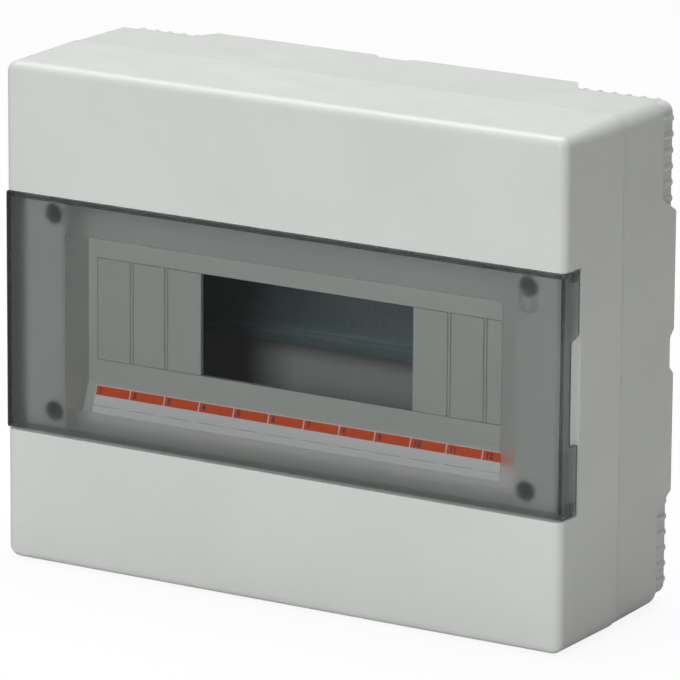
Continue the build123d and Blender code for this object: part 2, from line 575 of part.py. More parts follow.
def cable_knockouts():
    """Thinned rings on the inside of the top and bottom walls."""
    rings = []
    inner = BASE_HEIGHT / 2 - BASE_DRAFT - WALL
    middle_y = (JOINT_Y + REAR_STEP_Y - WALL) / 2
    height = 2 * KNOCKOUT_SCORE_DEPTH
    ring = Cylinder(KNOCKOUT_RADIUS, height) - Cylinder(KNOCKOUT_RADIUS - KNOCKOUT_GROOVE, height)
    for index in range(KNOCKOUT_COUNT):
        x = (index - (KNOCKOUT_COUNT - 1) / 2) * KNOCKOUT_PITCH
        for level in (-1, 1):
            rings.append(Pos(x, middle_y, level * inner) * ring)
    return rings


def rear_entry_grooves():
    """Score lines of the two knock-out openings in the rear wall."""
    outline = Rectangle(REAR_ENTRY_WIDTH, REAR_ENTRY_HEIGHT)
    outline -= Rectangle(REAR_ENTRY_WIDTH - 2 * KNOCKOUT_GROOVE, REAR_ENTRY_HEIGHT - 2 * KNOCKOUT_GROOVE)
    return [prism(Pos(0, level * REAR_ENTRY_DROP) * outline, -KNOCKOUT_SCORE_DEPTH, WALL)
            for level in (-1, 1)]


def back_box():
    rear = (BASE_WIDTH - 2 * BASE_DRAFT, BASE_HEIGHT - 2 * BASE_DRAFT)
    shell = rounded_form((BASE_WIDTH, BASE_HEIGHT, JOINT_CORNER_RADIUS, JOINT_Y),
                         (rear[0], rear[1], JOINT_CORNER_RADIUS, REAR_STEP_Y))
    plinth = RectangleRounded(rear[0] - 2 * REAR_STEP_INSET, rear[1] - 2 * REAR_STEP_INSET,
                              REAR_CORNER_RADIUS)
    shell += prism(plinth, REAR_STEP_Y, 0)
    shell += wall_pads()
    shell += grip_ribs()
    inner_joint = (BASE_WIDTH - 2 * WALL, BASE_HEIGHT - 2 * WALL, JOINT_CORNER_RADIUS - WALL, JOINT_Y)
    inner_step = (rear[0] - 2 * WALL, rear[1] - 2 * WALL, JOINT_CORNER_RADIUS - WALL, REAR_STEP_Y - WALL)
    shell -= rounded_form(inner_joint, inner_step)
    inset = REAR_STEP_INSET + WALL
    well = RectangleRounded(rear[0] - 2 * inset, rear[1] - 2 * inset, REAR_CORNER_RADIUS - WALL)
    shell -= prism(well, REAR_STEP_Y - WALL, BASE_FLOOR_Y)
    shell += joint_tongue()
    shell = shell + pillars() + floor_bosses() + wall_collars()
    shell -= screw_holes()
    shell -= cable_knockouts()
    shell -= rear_entry_grooves()
    slot = SlotOverall(WALL_SLOT_LENGTH, 2 * WALL_SLOT_RADIUS)
    for x, z in wall_slot_places():
        shell -= prism(Pos(x, z) * slot, BASE_FLOOR_Y - WALL, WALL)
    return shell


def joint_tongue():
    """Raised inner edge that enters the cover's rebate."""
    outer = RectangleRounded(BASE_WIDTH - 2 * (WALL - TONGUE_THICKNESS),
                             BASE_HEIGHT - 2 * (WALL - TONGUE_THICKNESS),
                             JOINT_CORNER_RADIUS - WALL + TONGUE_THICKNESS)
    inner = RectangleRounded(BASE_WIDTH - 2 * WALL, BASE_HEIGHT - 2 * WALL, JOINT_CORNER_RADIUS - WALL)
    return prism(outer - inner, JOINT_Y - TONGUE_HEIGHT, JOINT_Y)


def pillars():
    """Four screw pillars, each tied to the side wall by a web."""
    solids = []
    wall_x = BASE_WIDTH / 2 - BASE_DRAFT - REAR_STEP_INSET - SINK
    for _, side, level in CORNERS:
        z = BAY_RISE + level * SCREW_Z
        solids.append(rod(side * SCREW_X, z, PILLAR_TOP_Y, -SINK, PILLAR_RADIUS))
        solids.append(block(side * SCREW_X, side * wall_x, JOINT_Y + TONGUE_HEIGHT, -SINK,
                            z - PILLAR_WEB / 2, z + PILLAR_WEB / 2))
    return solids


def floor_bosses():
    """Raised seats on the rear wall for the rail supports and the terminal carriers."""
    solids = []
    for side in (-1, 1):
        solids.append(rod(side * RAIL_SCREW_X, BAY_RISE, RAIL_BOSS_Y, -SINK, RAIL_BOSS_RADIUS))
        for level in (-1, 1):
            solids.append(rod(side * CARRIER_SCREW_X, level * TERMINAL_Z, CARRIER_FOOT_Y,
                              -SINK, CARRIER_BOSS_RADIUS))
    return solids


def wall_slot_places():
    slot_x = WIDTH / 2 - WALL_SLOT_INSET_X
    slot_z = HEIGHT / 2 - WALL_SLOT_INSET_Z
    return [(side * slot_x, level * slot_z) for _, side, level in CORNERS]


def wall_collars():
    """Raised ring round each wall-fixing slot, inside the box."""
    room = WALL_COLLAR_SPACE
    outer = SlotOverall(WALL_SLOT_LENGTH + 2 * (room + WALL_COLLAR_WALL),
                        2 * (WALL_SLOT_RADIUS + room + WALL_COLLAR_WALL))
    inner = SlotOverall(WALL_SLOT_LENGTH + 2 * room, 2 * (WALL_SLOT_RADIUS + room))
    return [prism(Pos(x, z) * (outer - inner), BASE_FLOOR_Y - WALL_COLLAR_HEIGHT, -SINK)
            for x, z in wall_slot_places()]


def screw_holes():
    radius = SCREW_SHANK_RADIUS + THREAD_CLEARANCE
    holes = []
    for _, side, level in CORNERS:
        holes.append(rod(side * SCREW_X, BAY_RISE + level * SCREW_Z, PILLAR_TOP_Y - WALL,
                         PILLAR_TOP_Y + SCREW_GRIP + SCREW_TIP_GAP, radius))
        holes.append(rod(side * CARRIER_SCREW_X, level * TERMINAL_Z, CARRIER_FOOT_Y - WALL,
                         CARRIER_FOOT_Y + CARRIER_SCREW_GRIP + SCREW_TIP_GAP, radius))
    for side in (-1, 1):
        holes.append(rod(side * RAIL_SCREW_X, BAY_RISE, RAIL_BOSS_Y - WALL,
                         RAIL_BOSS_Y + RAIL_SCREW_GRIP + SCREW_TIP_GAP, radius))
    return holes


# ---- nodes ----
def build_nodes():
    nodes = {
        "back_box": back_box(),
        "front_cover": front_cover(),
        "door": door(),
        "circuit_label": circuit_label(),
        "left_blanking_strip": blanking_strip(),
        "right_blanking_strip": mirror_x(blanking_strip()),
        "din_rail": din_rail(),
        "right_rail_support": rail_support(),
        "left_rail_support": mirror_x(rail_support()),
        "left_rail_screw": rail_screw(-1),
        "right_rail_screw": rail_screw(1),
    }
    for corner, side, level in CORNERS:
        nodes[corner + "_cover_screw"] = cover_screw(side, level)
        nodes[corner + "_screw_washer"] = cover_screw_washer(side, level)
    for name, level in (("earth", 1), ("neutral", -1)):
        z = level * TERMINAL_Z
        nodes[name + "_terminal_carrier"] = terminal_carrier(z)
        nodes[name + "_terminal_bar"] = terminal_bar(z)
        screws = [terminal_screw(x, z) for x in terminal_positions()]
        nodes[name + "_terminal_screws"] = Compound(children=screws)
        nodes[name + "_carrier_screws"] = Compound(children=[carrier_screw(-1, z), carrier_screw(1, z)])
    return nodes


os.makedirs("parts", exist_ok=True)
for node, shape in build_nodes().items():
    export_step(shape, "parts/" + node + ".step")
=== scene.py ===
"""Looks of a surface-mounting distribution box for twelve DIN modules: finishes, printed label, studio."""
from math import pi, radians

import bmesh
import bpy
from bpy.props import FloatProperty, FloatVectorProperty, IntProperty, PointerProperty
from bpy.types import Operator, Panel, PropertyGroup
from mathutils import Matrix, Vector


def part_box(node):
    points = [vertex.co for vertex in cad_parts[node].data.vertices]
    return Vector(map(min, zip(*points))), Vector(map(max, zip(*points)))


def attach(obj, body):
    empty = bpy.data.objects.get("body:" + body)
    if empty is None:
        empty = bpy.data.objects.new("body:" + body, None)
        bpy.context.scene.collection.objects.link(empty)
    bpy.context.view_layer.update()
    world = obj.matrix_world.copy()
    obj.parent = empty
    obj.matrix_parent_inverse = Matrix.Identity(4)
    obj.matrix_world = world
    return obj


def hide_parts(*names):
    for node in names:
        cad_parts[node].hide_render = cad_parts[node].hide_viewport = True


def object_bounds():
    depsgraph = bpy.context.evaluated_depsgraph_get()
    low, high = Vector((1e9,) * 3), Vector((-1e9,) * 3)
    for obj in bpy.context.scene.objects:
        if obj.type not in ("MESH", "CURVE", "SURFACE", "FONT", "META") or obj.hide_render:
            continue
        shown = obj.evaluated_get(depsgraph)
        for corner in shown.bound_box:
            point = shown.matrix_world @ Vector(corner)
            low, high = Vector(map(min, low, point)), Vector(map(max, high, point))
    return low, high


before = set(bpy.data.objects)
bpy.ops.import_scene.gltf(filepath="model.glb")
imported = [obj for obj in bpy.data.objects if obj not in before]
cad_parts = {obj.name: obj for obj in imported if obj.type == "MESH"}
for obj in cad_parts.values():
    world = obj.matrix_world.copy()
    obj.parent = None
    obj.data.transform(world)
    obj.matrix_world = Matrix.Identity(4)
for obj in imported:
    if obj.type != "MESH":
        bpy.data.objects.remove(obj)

bl_info = {
    "name": "Distribution Box Looks",
    "version": (1, 0, 0),
    "blender": (4, 5, 0),
    "location": "View3D > Sidebar > Distribution Box",
    "description": "Finishes, printed label and studio of a twelve-module distribution box",
    "category": "Object",
}

MM = 0.001
CAD_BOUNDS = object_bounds()
DOOR_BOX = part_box("door")
CARD_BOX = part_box("circuit_label")
WHITE = (1.0, 1.0, 1.0, 1.0)

# ---- sizes of the patterns in the finishes ----
PLASTIC_INDEX = 1.5               # refractive index of the opaque plastics
FLOW_CLOUD = 60 * MM              # pale and dark clouds in moulded plastic
SPECK_SPACING = 11 * MM           # from one dark speck to the next
SMEAR = 9 * MM                    # patches of duller and shinier plastic
FROST_PATCH = 7 * MM              # patches of finer and coarser frosting
DOOR_HAZE = 35 * MM               # faint haze on the polished faces
DOOR_RIPPLE = 14 * MM             # waves in the moulded door
DOOR_RIPPLE_DEPTH = 0.01 * MM
CARD_FIBRE = 0.8 * MM
CARD_FIBRE_DEPTH = 0.01 * MM
CARD_EDGE = 0.05 * MM             # rounding that the card's edges show
INK_COAT = 1.5 * MM               # patches of thinner and thicker ink
ZINC_CRYSTAL = 0.6 * MM
ROLLING_LINE = 0.6 * MM           # width of a line left by the rolls
ROLLING_STRETCH = 0.03            # squeezes the pattern along the rail, which draws it out into lines
ROLLING_DEPTH = 0.006 * MM
ZINC_STAIN = 18 * MM
RAIL_EDGE = 0.15 * MM             # rounding that the rail's edges show
DULL_PATCH = 3 * MM               # duller patches on screws and bars
TOOL_LINE = 0.12 * MM             # width of a line left by the tool
TOOL_LINE_DEPTH = 0.004 * MM
SCREW_EDGE = 0.1 * MM             # rounding that the inner screws' edges show
COVER_SCREW_EDGE = 0.15 * MM
BAR_EDGE = 0.15 * MM
PAPER_TOOTH = 3 * MM
BEVEL_SAMPLES = 4

# ---- fineness of the meshes ----
CORNER_STEPS = 5                  # faces round a corner of the card
DOT_SIDES = 8
FLOOR_SIDES = 64
MERGE_DISTANCE = 0.001 * MM

# ---- softboxes: where they stand, and their width and height ----
TOP_LIGHT_PLACE, TOP_LIGHT_SIZE = (-0.2, 0.15, 2.0), (1.9, 1.5)
FRONT_LIGHT_PLACE, FRONT_LIGHT_SIZE = (0.2, -2.5, 0.95), (0.9, 0.9)


def length(name, default, description, **limits):
    return FloatProperty(name=name, default=default, description=description, unit="LENGTH", precision=5,
                         **limits)


def share(name, default, description):
    return FloatProperty(name=name, default=default, description=description, subtype="FACTOR",
                         min=0.0, max=1.0)


def colour(name, default, description):
    return FloatVectorProperty(name=name, default=default, description=description, subtype="COLOR",
                               min=0.0, max=1.0)


# ---- settings ----
class PlasticSettings(PropertyGroup):
    """Colours and texture of the moulded shells and the small mouldings."""
    cover_colour: colour("Cover", (0.585, 0.6, 0.582), "Front cover")
    housing_colour: colour("Back box", (0.57, 0.585, 0.568), "Back box")
    blank_colour: colour("Blanking strips", (0.56, 0.575, 0.555), "Blanking strips")
    support_colour: colour("Rail supports", (0.42, 0.43, 0.42), "Rail supports")
    nylon_colour: colour("Washers", (0.74, 0.72, 0.66), "Nylon washers of the cover screws")
    earth_colour: colour("Earth carrier", (0.035, 0.2, 0.07), "Carrier of the earth terminals")
    neutral_colour: colour("Neutral carrier", (0.03, 0.11, 0.36), "Carrier of the neutral terminals")
    roughness: share("Roughness", 0.4, "Sheen of the moulded surface")
    grain_size: length("Grain", 0.45 * MM, "Width of one grain of the spark-eroded texture")
    grain_depth: length("Grain depth", 0.012 * MM, "Height of the texture")
    edge_radius: length("Edge rounding", 0.5 * MM, "Rounding that a sharp moulded edge shows")


class DoorSettings(PropertyGroup):
    """Tint and frosting of the smoked door."""
    tint: colour("Tint", (0.1, 0.145, 0.125), "Colour that the smoked plastic lets through")
    density: FloatProperty(name="Tint density", default=140.0, min=0.0,
                           description="How fast the plastic darkens, per metre")
    bending: FloatProperty(name="Refractive index", default=1.49, min=1.0, max=2.0,
                           description="Index of the clear plastic")
    polish: share("Polish", 0.03, "Roughness of the polished faces")
    gloss: share("Gloss", 0.15, "Strength of the reflections")
    frost: share("Frost", 0.52, "Roughness of the frosted border, at the back of the door")
    frost_clarity: share("Frost clarity", 0.72, "Light that the frosted border lets through")
    pane_half_width: length("Pane half width", 110.5 * MM,
                            "Middle of the door to the side of the polished pane")
    pane_up: length("Pane upwards", 38.0 * MM, "Middle of the door to the top of the polished pane")
    pane_down: length("Pane downwards", 41.0 * MM, "Middle of the door to the bottom of the polished pane")
    thickness: length("Thickness", 2.5 * MM, "Front wall of the door")
    side_thickness: length("Side thickness", 2.2 * MM, "Side walls of the door")


class LabelSettings(PropertyGroup):
    """Printed card on the sloping ledge."""
    cells: IntProperty(name="Cells", default=12, min=1, description="Numbered cells, one for each module")
    tilt: FloatProperty(name="Tilt", default=radians(18.0), unit="ROTATION", description="Lean of the card")
    thickness: length("Thickness", 0.3 * MM, "Thickness of the card")
    corner_radius: length("Corner radius", 0.8 * MM, "Rounding of the card's corners")
    band_margin: length("Band margin", 0.4 * MM, "White edge of the card above the band")
    band_height: length("Band height", 4.1 * MM, "Coloured band that holds the numbers")
    tick_width: length("Tick width", 0.55 * MM, "White line between two cells")
    number_size: length("Number size", 3.7 * MM, "Type size of the numbers")
    number_weight: length("Number weight", 0.09 * MM, "Extra thickness of the numbers' strokes")
    number_inset: length("Number inset", 1.6 * MM, "White line to the number")
    ink_height: length("Ink height", 0.02 * MM, "Thickness of the printed ink")
    dot_drop: length("Dotted line drop", 9.2 * MM, "Card's top edge to the dotted writing line")
    dot_pitch: length("Dot pitch", 0.95 * MM, "From one dot to the next")
    dot_radius: length("Dot radius", 0.2 * MM, "Radius of one dot")
    dot_share: share("Dotted share", 0.84, "Part of a cell that the writing line spans")
    card_colour: colour("Card", (0.9, 0.89, 0.9), "Unprinted card")
    band_colour: colour("Band", (0.88, 0.09, 0.006), "Coloured band")
    number_colour: colour("Numbers", (0.012, 0.025, 0.11), "Ink of the numbers")
    dot_colour: colour("Dots", (0.07, 0.065, 0.07), "Ink of the writing lines")


class MetalSettings(PropertyGroup):
    """Colours of the rail, the screws and the terminal bars."""
    rail_colour: colour("Rail", (0.44, 0.54, 0.57), "Galvanised steel with a bluish passivation")
    screw_colour: colour("Screws", (0.62, 0.62, 0.6), "Zinc-plated steel of the inner screws")
    cover_screw_colour: colour("Cover screws", (0.2, 0.2, 0.205), "Dark passivated steel of the cover screws")
    brass_colour: colour("Brass", (0.73, 0.52, 0.2), "Terminal bars")


class StudioSettings(PropertyGroup):
    """Floor, lights and camera."""
    floor_radius: length("Floor radius", 12.0, "Half the width of the floor")
    floor_colour: colour("Floor", (0.86, 0.86, 0.86), "Paper of the floor")
    floor_glow: share("Floor glow", 0.9, "Share of the floor's look that is plain white")
    floor_mirrored: share("Floor in reflections", 0.15,
                          "Brightness of the floor where glossy faces mirror it")
    ambient: FloatProperty(name="Ambient light", default=0.14, min=0.0, description="Light from all round")
    top_power: FloatProperty(name="Top light", default=50.0, min=0.0,
                             description="Softbox above, in watts")
    front_power: FloatProperty(name="Front light", default=32.0, min=0.0,
                               description="Softbox in front, in watts")
    camera_place: FloatVectorProperty(name="Camera place", default=(1.4876, -2.5178, 0.7571), unit="LENGTH",
                                      subtype="TRANSLATION", description="Where the camera stands")
    camera_turn: FloatProperty(name="Camera turn", default=radians(31.039), unit="ROTATION",
                               description="Camera to the right of the front")
    camera_tilt: FloatProperty(name="Camera tilt", default=radians(14.799), unit="ROTATION",
                               description="How far the camera looks down")
    camera_roll: FloatProperty(name="Camera roll", default=radians(0.401), unit="ROTATION",
                               description="Lean of the camera")
    lens: FloatProperty(name="Lens", default=360.3, min=1.0, description="Focal length in millimetres")


# ---- building blocks of the materials ----
def start_material(name):
    """A new material with a Principled shader, and the tree it is in."""
    material = bpy.data.materials.new(name)
    material.use_nodes = True
    tree = material.node_tree
    return material, tree, tree.nodes["Principled BSDF"]


def add_node(tree, kind, inputs=None, **settings):
    """A node whose inputs are given as values or as the sockets that feed them."""
    node = tree.nodes.new(kind)
    for key, value in settings.items():
        setattr(node, key, value)
    for key, value in (inputs or {}).items():
        if isinstance(value, bpy.types.NodeSocket):
            tree.links.new(value, node.inputs[key])
        else:
            node.inputs[key].default_value = value
    return node


def object_place(tree):
    return add_node(tree, "ShaderNodeTexCoord").outputs["Object"]


def noise(tree, place, size, detail=2.0, roughness=0.5):
    """Cloudy pattern whose features are about size metres wide."""
    node = add_node(tree, "ShaderNodeTexNoise",
                    {"Vector": place, "Scale": 1.0 / size, "Detail": detail, "Roughness": roughness})
    return node.outputs["Fac"]


def remap(tree, value, low, high, to_low, to_high):
    node = add_node(tree, "ShaderNodeMapRange", {"Value": value, "From Min": low, "From Max": high,
                                                 "To Min": to_low, "To Max": to_high})
    return node.outputs["Result"]


def calculate(tree, operation, first, second=0.0):
    return add_node(tree, "ShaderNodeMath", {0: first, 1: second}, operation=operation).outputs["Value"]


def blend(tree, factor, first, second):
    """Colour that goes from first to second as factor goes from 0 to 1."""
    node = add_node(tree, "ShaderNodeMix", data_type="RGBA")
    for key, value in (("Factor_Float", factor), ("A_Color", first), ("B_Color", second)):
        socket = next(s for s in node.inputs if s.identifier == key)
        if isinstance(value, bpy.types.NodeSocket):
            tree.links.new(value, socket)
        else:
            socket.default_value = value
    return next(s for s in node.outputs if s.identifier == "Result_Color")


def mix_shaders(tree, factor, first, second):
    node = add_node(tree, "ShaderNodeMixShader", {0: factor, 1: first, 2: second})
    return node.outputs["Shader"]


def shade(rgb, factor=1.0):
    """RGBA of a colour, made lighter or darker by a factor."""
    return (*(min(1.0, channel * factor) for channel in rgb), 1.0)


def surface_relief(tree, height, depth, edge_radius):
    """Normal with a small relief, and with sharp edges shown rounded."""
    rounded = add_node(tree, "ShaderNodeBevel", {"Radius": edge_radius}, samples=BEVEL_SAMPLES)
    relief = add_node(tree, "ShaderNodeBump",
                      {"Height": height, "Distance": depth, "Strength": 1.0,
                       "Normal": rounded.outputs["Normal"]})
    return relief.outputs["Normal"]


def edge_mask(tree, edge_radius):
    """1 beside a sharp edge, 0 on the flat."""
    rounded = add_node(tree, "ShaderNodeBevel", {"Radius": edge_radius}, samples=BEVEL_SAMPLES)
    flat = add_node(tree, "ShaderNodeNewGeometry")
    facing = add_node(tree, "ShaderNodeVectorMath",
                      {0: rounded.outputs["Normal"], 1: flat.outputs["Normal"]}, operation="DOT_PRODUCT")
    return remap(tree, facing.outputs["Value"], 1.0, 0.8, 0.0, 1.0)


# ---- materials ----
def moulded_plastic(name, rgb, settings, roughness=None):
    """Injection-moulded plastic: spark-eroded grain, faint flow clouds, a painted highlight along the sharp
    edges and a few specks.
    """
    material, tree, shader = start_material(name)
    place = object_place(tree)
    sheen = settings.roughness if roughness is None else roughness
    clouds = noise(tree, place, FLOW_CLOUD, detail=3.0)
    tone = blend(tree, remap(tree, clouds, 0.3, 0.7, 0.0, 1.0), shade(rgb, 0.975), shade(rgb, 1.02))
    cells = add_node(tree, "ShaderNodeTexVoronoi", {"Vector": place, "Scale": 1.0 / SPECK_SPACING})
    speck = remap(tree, cells.outputs["Distance"], 0.03, 0.018, 0.0, 0.35)
    tone = blend(tree, speck, tone, shade(rgb, 0.45))
    # painted highlight: the colour is made lighter along the sharp edges, where they catch the light
    lighter_edges = edge_mask(tree, settings.edge_radius)
    tone = blend(tree, calculate(tree, "MULTIPLY", lighter_edges, 0.25), tone, shade(rgb, 1.12))
    grain = noise(tree, place, settings.grain_size, detail=3.0, roughness=0.6)
    smear = noise(tree, place, SMEAR, detail=4.0)
    tree.links.new(tone, shader.inputs["Base Color"])
    tree.links.new(remap(tree, smear, 0.3, 0.7, sheen - 0.04, sheen + 0.05), shader.inputs["Roughness"])
    tree.links.new(surface_relief(tree, grain, settings.grain_depth, settings.edge_radius),
                   shader.inputs["Normal"])
    shader.inputs["IOR"].default_value = PLASTIC_INDEX
    return material


def inside_range(tree, value, half):
    """1 where value lies between -half and half."""
    return calculate(tree, "LESS_THAN", calculate(tree, "ABSOLUTE", value), half)


def smoked_plastic(settings):
    """Smoked clear plastic: polished outside, with a frosted back round the polished pane."""
    material, tree, shader = start_material("smoked_plastic")
    place = object_place(tree)
    low, high = DOOR_BOX
    middle = (low + high) / 2
    parts = add_node(tree, "ShaderNodeSeparateXYZ", {"Vector": place}).outputs
    across = calculate(tree, "SUBTRACT", parts["X"], middle.x)
    up = calculate(tree, "SUBTRACT", parts["Z"], middle.z)
    pane_rise = (settings.pane_up - settings.pane_down) / 2
    pane_half_height = (settings.pane_up + settings.pane_down) / 2
    in_pane = calculate(tree, "MULTIPLY", inside_range(tree, across, settings.pane_half_width),
                   inside_range(tree, calculate(tree, "SUBTRACT", up, pane_rise), pane_half_height))
    behind = calculate(tree, "GREATER_THAN", parts["Y"], low.y + settings.thickness / 2)
    half_width = (high.x - low.x) / 2 - settings.side_thickness
    inside = calculate(tree, "MULTIPLY", behind, inside_range(tree, across, half_width))
    frosted = calculate(tree, "MULTIPLY", inside, calculate(tree, "SUBTRACT", 1.0, in_pane))
    etch = noise(tree, place, FROST_PATCH, detail=2.0)
    frost = remap(tree, etch, 0.3, 0.7, settings.frost - 0.03, settings.frost + 0.03)
    haze = noise(tree, place, DOOR_HAZE, detail=4.0)
    polish = remap(tree, haze, 0.3, 0.75, settings.polish, settings.polish + 0.03)
    rough = add_node(tree, "ShaderNodeMix", data_type="FLOAT")
    tree.links.new(frosted, rough.inputs[0])
    tree.links.new(polish, rough.inputs[2])
    tree.links.new(frost, rough.inputs[3])
    tree.links.new(rough.outputs[0], shader.inputs["Roughness"])
    ripple = noise(tree, place, DOOR_RIPPLE, detail=1.0)
    relief = add_node(tree, "ShaderNodeBump",
                      {"Height": ripple, "Distance": DOOR_RIPPLE_DEPTH, "Strength": 1.0})
    tree.links.new(relief.outputs["Normal"], shader.inputs["Normal"])
    tree.links.new(blend(tree, frosted, WHITE, shade(WHITE[:3], settings.frost_clarity)),
                   shader.inputs["Base Color"])
    shader.inputs["Transmission Weight"].default_value = 1.0
    shader.inputs["IOR"].default_value = settings.bending
    shader.inputs["Specular IOR Level"].default_value = settings.gloss
    light_path = add_node(tree, "ShaderNodeLightPath").outputs
    straight = calculate(tree, "MAXIMUM", light_path["Is Shadow Ray"], light_path["Is Diffuse Ray"])
    open_shader = add_node(tree, "ShaderNodeBsdfTransparent", {"Color": (0.96, 0.96, 0.96, 1.0)})
    output = tree.nodes["Material Output"]
    tree.links.new(mix_shaders(tree, straight, shader.outputs["BSDF"], open_shader.outputs["BSDF"]),
                   output.inputs["Surface"])
    smoke = add_node(tree, "ShaderNodeVolumeAbsorption", {"Color": shade(settings.tint),
                                                          "Density": settings.density})
    tree.links.new(smoke.outputs["Volume"], output.inputs["Volume"])
    return material


def card_paper(settings):
    """Smooth white card with a faint fibre."""
    material, tree, shader = start_material("card_paper")
    place = object_place(tree)
    fibre = noise(tree, place, CARD_FIBRE, detail=5.0, roughness=0.7)
    tone = blend(tree, remap(tree, fibre, 0.3, 0.7, 0.0, 1.0), shade(settings.card_colour, 0.97),
                 shade(settings.card_colour, 1.03))
    tree.links.new(tone, shader.inputs["Base Color"])
    tree.links.new(surface_relief(tree, fibre, CARD_FIBRE_DEPTH, CARD_EDGE), shader.inputs["Normal"])
    shader.inputs["Roughness"].default_value = 0.55
    return material


def printing_ink(name, rgb):
    """Offset ink with a slightly uneven coat."""
    material, tree, shader = start_material(name)
    place = object_place(tree)
    coat = noise(tree, place, INK_COAT, detail=5.0, roughness=0.65)
    tone = blend(tree, remap(tree, coat, 0.3, 0.7, 0.0, 1.0), shade(rgb, 0.92), shade(rgb, 1.06))
    tree.links.new(tone, shader.inputs["Base Color"])
    tree.links.new(remap(tree, coat, 0.3, 0.7, 0.42, 0.52), shader.inputs["Roughness"])
    return material


def galvanised_steel(settings):
    """Zinc coat with small crystals, rolling lines along the rail and a bluish passivation."""
    material, tree, shader = start_material("galvanised_steel")
    place = object_place(tree)
    crystals = add_node(tree, "ShaderNodeTexVoronoi", {"Vector": place, "Scale": 1.0 / ZINC_CRYSTAL})
    tint = add_node(tree, "ShaderNodeSeparateColor", {"Color": crystals.outputs["Color"]}).outputs["Red"]
    stretched = add_node(tree, "ShaderNodeMapping", {"Vector": place, "Scale": (ROLLING_STRETCH, 1.0, 1.0)})
    lines = noise(tree, stretched.outputs["Vector"], ROLLING_LINE, detail=3.0)
    stain = noise(tree, place, ZINC_STAIN, detail=4.0)
    tone = blend(tree, tint, shade(settings.rail_colour, 0.85), shade(settings.rail_colour, 1.12))
    tone = blend(tree, remap(tree, stain, 0.35, 0.7, 0.0, 0.15), tone, (0.4, 0.42, 0.38, 1.0))
    tree.links.new(tone, shader.inputs["Base Color"])
    shader.inputs["Metallic"].default_value = 1.0
    tree.links.new(remap(tree, tint, 0.0, 1.0, 0.3, 0.36), shader.inputs["Roughness"])
    tree.links.new(surface_relief(tree, lines, ROLLING_DEPTH, RAIL_EDGE), shader.inputs["Normal"])
    return material


def machined_metal(name, rgb, roughness, edge_radius):
    """Turned or sawn metal with fine tool lines and slightly dull patches."""
    material, tree, shader = start_material(name)
    place = object_place(tree)
    patches = noise(tree, place, DULL_PATCH, detail=4.0)
    lines = noise(tree, place, TOOL_LINE, detail=2.0)
    tone = blend(tree, remap(tree, patches, 0.3, 0.7, 0.0, 1.0), shade(rgb, 0.86), shade(rgb, 1.08))
    # colour made lighter along the sharp edges
    lighter_edges = edge_mask(tree, edge_radius)
    tone = blend(tree, calculate(tree, "MULTIPLY", lighter_edges, 0.4), tone, shade(rgb, 1.25))
    tree.links.new(tone, shader.inputs["Base Color"])
    shader.inputs["Metallic"].default_value = 1.0
    tree.links.new(remap(tree, patches, 0.3, 0.7, roughness - 0.06, roughness + 0.1),
                   shader.inputs["Roughness"])
    tree.links.new(surface_relief(tree, lines, TOOL_LINE_DEPTH, edge_radius), shader.inputs["Normal"])
    return material


def studio_paper(settings):
    """Plain pale paper of the floor, glowing a little, and dim where glossy faces mirror it."""
    material, tree, shader = start_material("studio_paper")
    place = object_place(tree)
    tooth = noise(tree, place, PAPER_TOOTH, detail=2.0)
    tone = blend(tree, tooth, shade(settings.floor_colour, 0.99), shade(settings.floor_colour, 1.01))
    tree.links.new(tone, shader.inputs["Base Color"])
    shader.inputs["Roughness"].default_value = 0.9
    shader.inputs["Specular IOR Level"].default_value = 0.1
    rays = add_node(tree, "ShaderNodeLightPath").outputs
    glow = add_node(tree, "ShaderNodeEmission", {"Color": WHITE, "Strength": 1.0})
    seen = calculate(tree, "MULTIPLY", rays["Is Camera Ray"], settings.floor_glow)
    lit = mix_shaders(tree, seen, shader.outputs["BSDF"], glow.outputs["Emission"])
    dim = add_node(tree, "ShaderNodeBsdfDiffuse",
                   {"Color": shade(settings.floor_colour, settings.floor_mirrored)})
    both = mix_shaders(tree, rays["Is Glossy Ray"], lit, dim.outputs["BSDF"])
    tree.links.new(both, tree.nodes["Material Output"].inputs["Surface"])
    return material


# ---- building blocks of the pieces ----
def finish_nodes(material, names):
    """Gives every named CAD node this one material."""
    for name in names:
        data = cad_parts[name].data
        data.materials.clear()
        data.materials.append(material)


def mesh_piece(name, mesh_builder, materials):
    """An object at the origin made from a bmesh, with its materials."""
    data = bpy.data.meshes.new(name)
    mesh_builder.to_mesh(data)
    mesh_builder.free()
    for material in materials:
        data.materials.append(material)
    piece = bpy.data.objects.new(name, data)
    bpy.context.scene.collection.objects.link(piece)
    return piece


def card_frame(tilt):
    """Matrix from the card's own frame (x across, y up the card, z out of it) to the box."""
    low, high = CARD_BOX
    turn = Matrix.Rotation(pi / 2 - tilt, 4, "X")
    return Matrix.Translation((low + high) / 2) @ turn


def card_size(settings):
    """Width and height of the card, worked out from the tilted card's box."""
    low, high = CARD_BOX
    upright = Vector((high.y - low.y, high.z - low.z))
    flat = Matrix.Rotation(settings.tilt, 2) @ upright
    return high.x - low.x, flat.y


# ---- operators ----
class BOX_OT_moulded_shells(Operator):
    """Gives the front cover and the back box their moulded finish"""
    bl_idname = "distribution_box.moulded_shells"
    bl_label = "Moulded Shells"

    def execute(self, context):
        plastic = context.scene.box_plastic
        finish_nodes(moulded_plastic("cover_plastic", plastic.cover_colour, plastic), ["front_cover"])
        finish_nodes(moulded_plastic("housing_plastic", plastic.housing_colour, plastic), ["back_box"])
        return {"FINISHED"}


class BOX_OT_smoked_door(Operator):
    """Gives the door its smoked, partly frosted finish"""
    bl_idname = "distribution_box.smoked_door"
    bl_label = "Smoked Door"

    def execute(self, context):
        finish_nodes(smoked_plastic(context.scene.box_door), ["door"])
        return {"FINISHED"}


